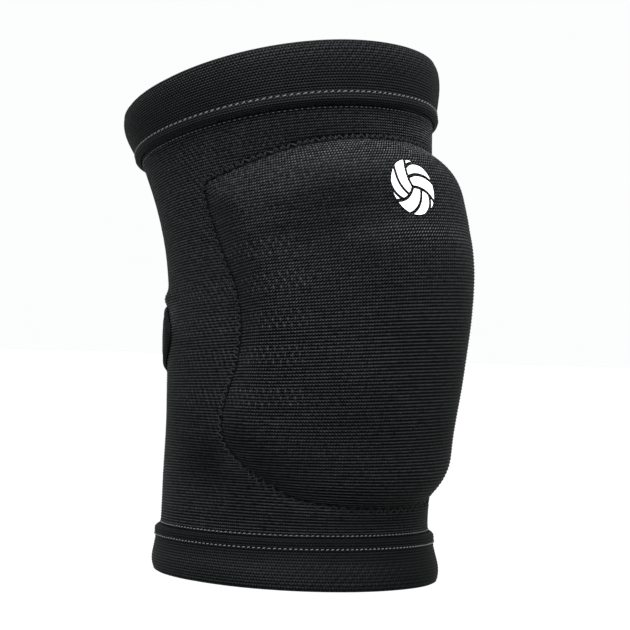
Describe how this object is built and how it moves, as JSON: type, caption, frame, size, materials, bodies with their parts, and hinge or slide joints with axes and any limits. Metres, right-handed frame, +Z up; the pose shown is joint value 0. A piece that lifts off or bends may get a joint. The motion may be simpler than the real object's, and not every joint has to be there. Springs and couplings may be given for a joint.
{
  "type": "volleyball knee pad",
  "caption": "Pull-on knitted knee sleeve with doubled cuffs at both ends and a moulded pad sewn into a pocket over the kneecap, shown as worn on a slightly bent leg.",
  "frame": {"origin": "centre of the leg inside the pad, level with the middle of the knee", "axes": "+Z up along the leg, -Y forward through the kneecap, +X sideways"},
  "size_m": [0.1366, 0.1595, 0.2272],
  "materials": {
    "knit": "black elastic knit with raised courses",
    "cuff_rib": "black fine ribbed elastic knit",
    "pad_cloth": "black brushed cloth over foam",
    "panel_knit": "black soft fine knit",
    "white_print": "white heat-applied film"
  },
  "bodies": {
    "root": {"sleeve": "knit", "upper_cuff": "cuff_rib", "lower_cuff": "cuff_rib", "pad_insert": "pad_cloth", "back_panel": "panel_knit", "print_mark": "white_print"}
  },
  "joints": []
}
